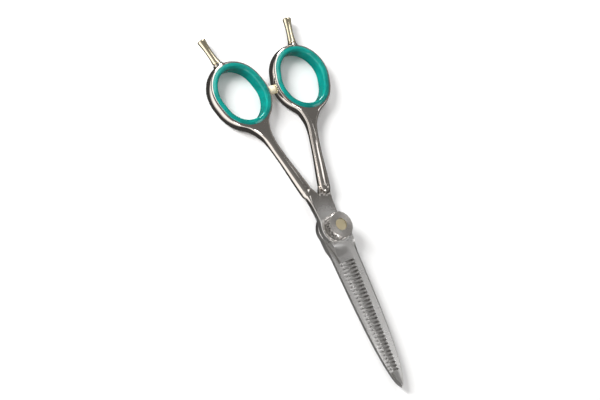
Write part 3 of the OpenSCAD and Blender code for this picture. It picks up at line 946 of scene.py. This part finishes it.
# Soft boxes: name, direction from the shears, width and height in metres, power, shown in reflections
LIGHT_DISTANCE = 0.8
LIGHTS = (
    ("key", (0.7, -0.5, 0.52), 0.35, 0.35, 9.5, False),
    ("top", (-0.25, -0.5, 0.83), 0.45, 0.45, 1.1, True),
    ("side", (-0.27, -0.88, 0.39), 0.25, 0.25, 2.5, True),
    ("front", (0.35, 0.78, 0.52), 0.25, 0.2, 1.2, True),
    ("blade", (-0.68, 0.18, 0.71), 0.28, 0.18, 0.34, True),
)


def stage_floor():
    """A plain white floor just under the shears, which doesn't show in the steel."""
    corners = [(-1, -1), (1, -1), (1, 1), (-1, 1)]
    mesh = bpy.data.meshes.new("floor")
    mesh.from_pydata([(FLOOR_SIZE * x, FLOOR_SIZE * y, FLOOR_Z) for x, y in corners], [], [(0, 1, 2, 3)])
    made, tree, shader = material("floor_paint", Roughness=0.9, Specular_IOR_Level=0.1)
    cloud = between(tree, noise(tree, 6, 2), 0, 1)
    tree.links.new(mixed(tree, cloud, (0.95, 0.95, 0.95), (0.93, 0.93, 0.93)), shader.inputs["Base Color"])
    mesh.materials.append(made)
    obj = bpy.data.objects.new("floor", mesh)
    bpy.context.scene.collection.objects.link(obj)
    obj.visible_glossy = False


def softbox(name, toward, width, height, power, reflected, target):
    """An area light that faces the target from the direction given."""
    light = bpy.data.lights.new(name, "AREA")
    light.shape = "RECTANGLE"
    light.size, light.size_y, light.energy = width, height, power
    obj = bpy.data.objects.new(name, light)
    direction = Vector(toward).normalized()
    obj.location = target + direction * LIGHT_DISTANCE
    obj.rotation_mode = "QUATERNION"
    obj.rotation_quaternion = direction.to_track_quat("Z", "Y")
    obj.visible_glossy = reflected
    bpy.context.scene.collection.objects.link(obj)


def studio_world():
    """A world that is white towards the camera, dim overhead and behind, and dark below."""
    world = bpy.data.worlds.new("studio")
    world.use_nodes = True
    tree = world.node_tree
    where = node(tree, "ShaderNodeTexCoord").outputs["Generated"]
    toward = Vector((VIEW_BACK.x, VIEW_BACK.y, 0)).normalized()
    near = node(tree, "ShaderNodeVectorMath", {0: where, 1: toward}, operation="DOT_PRODUCT")
    height = node(tree, "ShaderNodeSeparateXYZ", {"Vector": where}).outputs["Z"]
    angle = node(tree, "ShaderNodeMath", {0: height, 1: near.outputs["Value"]}, operation="ARCTAN2")
    turn = between(tree, angle.outputs[0], 0, 1, -math.pi, math.pi)
    ramp = node(tree, "ShaderNodeValToRGB", {"Fac": turn})
    stops = ramp.color_ramp
    stops.interpolation = "EASE"
    for index, (degrees, level) in enumerate(WORLD_LEVELS):
        position = (degrees + 180) / 360
        stop = stops.elements[index] if index < 2 else stops.elements.new(position)
        stop.position = position
        stop.color = (*[level * c for c in WORLD_TINT], 1)
    background = tree.nodes["Background"]
    tree.links.new(ramp.outputs["Color"], background.inputs["Color"])
    background.inputs["Strength"].default_value = 1.0
    bpy.context.scene.world = world


def aim_camera():
    """Looks along the photographed direction, with the whole object in the middle of the frame, and
    gives the point that the camera looks at."""
    corners = np.concatenate([
        np.array([v.co for v in obj.data.vertices]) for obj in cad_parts.values()])
    across, up = corners @ np.array(VIEW_RIGHT), corners @ np.array(VIEW_UP)
    depth = corners @ np.array(VIEW_BACK)
    target = (VIEW_RIGHT * (across.min() + across.max()) / 2 + VIEW_UP * (up.min() + up.max()) / 2
              + VIEW_BACK * float(depth.mean()))
    camera = bpy.data.cameras.new("camera")
    camera.lens = LENS
    camera.sensor_width = SENSOR
    camera.dof.use_dof = False
    obj = bpy.data.objects.new("camera", camera)
    tall = (up.max() - up.min()) * MARGIN
    obj.location = target + VIEW_BACK * tall * LENS / (SENSOR * PICTURE_SIZE[1] / PICTURE_SIZE[0])
    obj.rotation_mode = "QUATERNION"
    turn = Matrix((VIEW_RIGHT, VIEW_UP, VIEW_BACK)).transposed()
    obj.rotation_quaternion = turn.to_quaternion()
    bpy.context.scene.collection.objects.link(obj)
    bpy.context.scene.camera = obj
    return target


stage_floor()
middle = aim_camera()
studio_world()
for light in LIGHTS:
    softbox(*light, middle)

bpy.context.scene.view_settings.view_transform = "Standard"
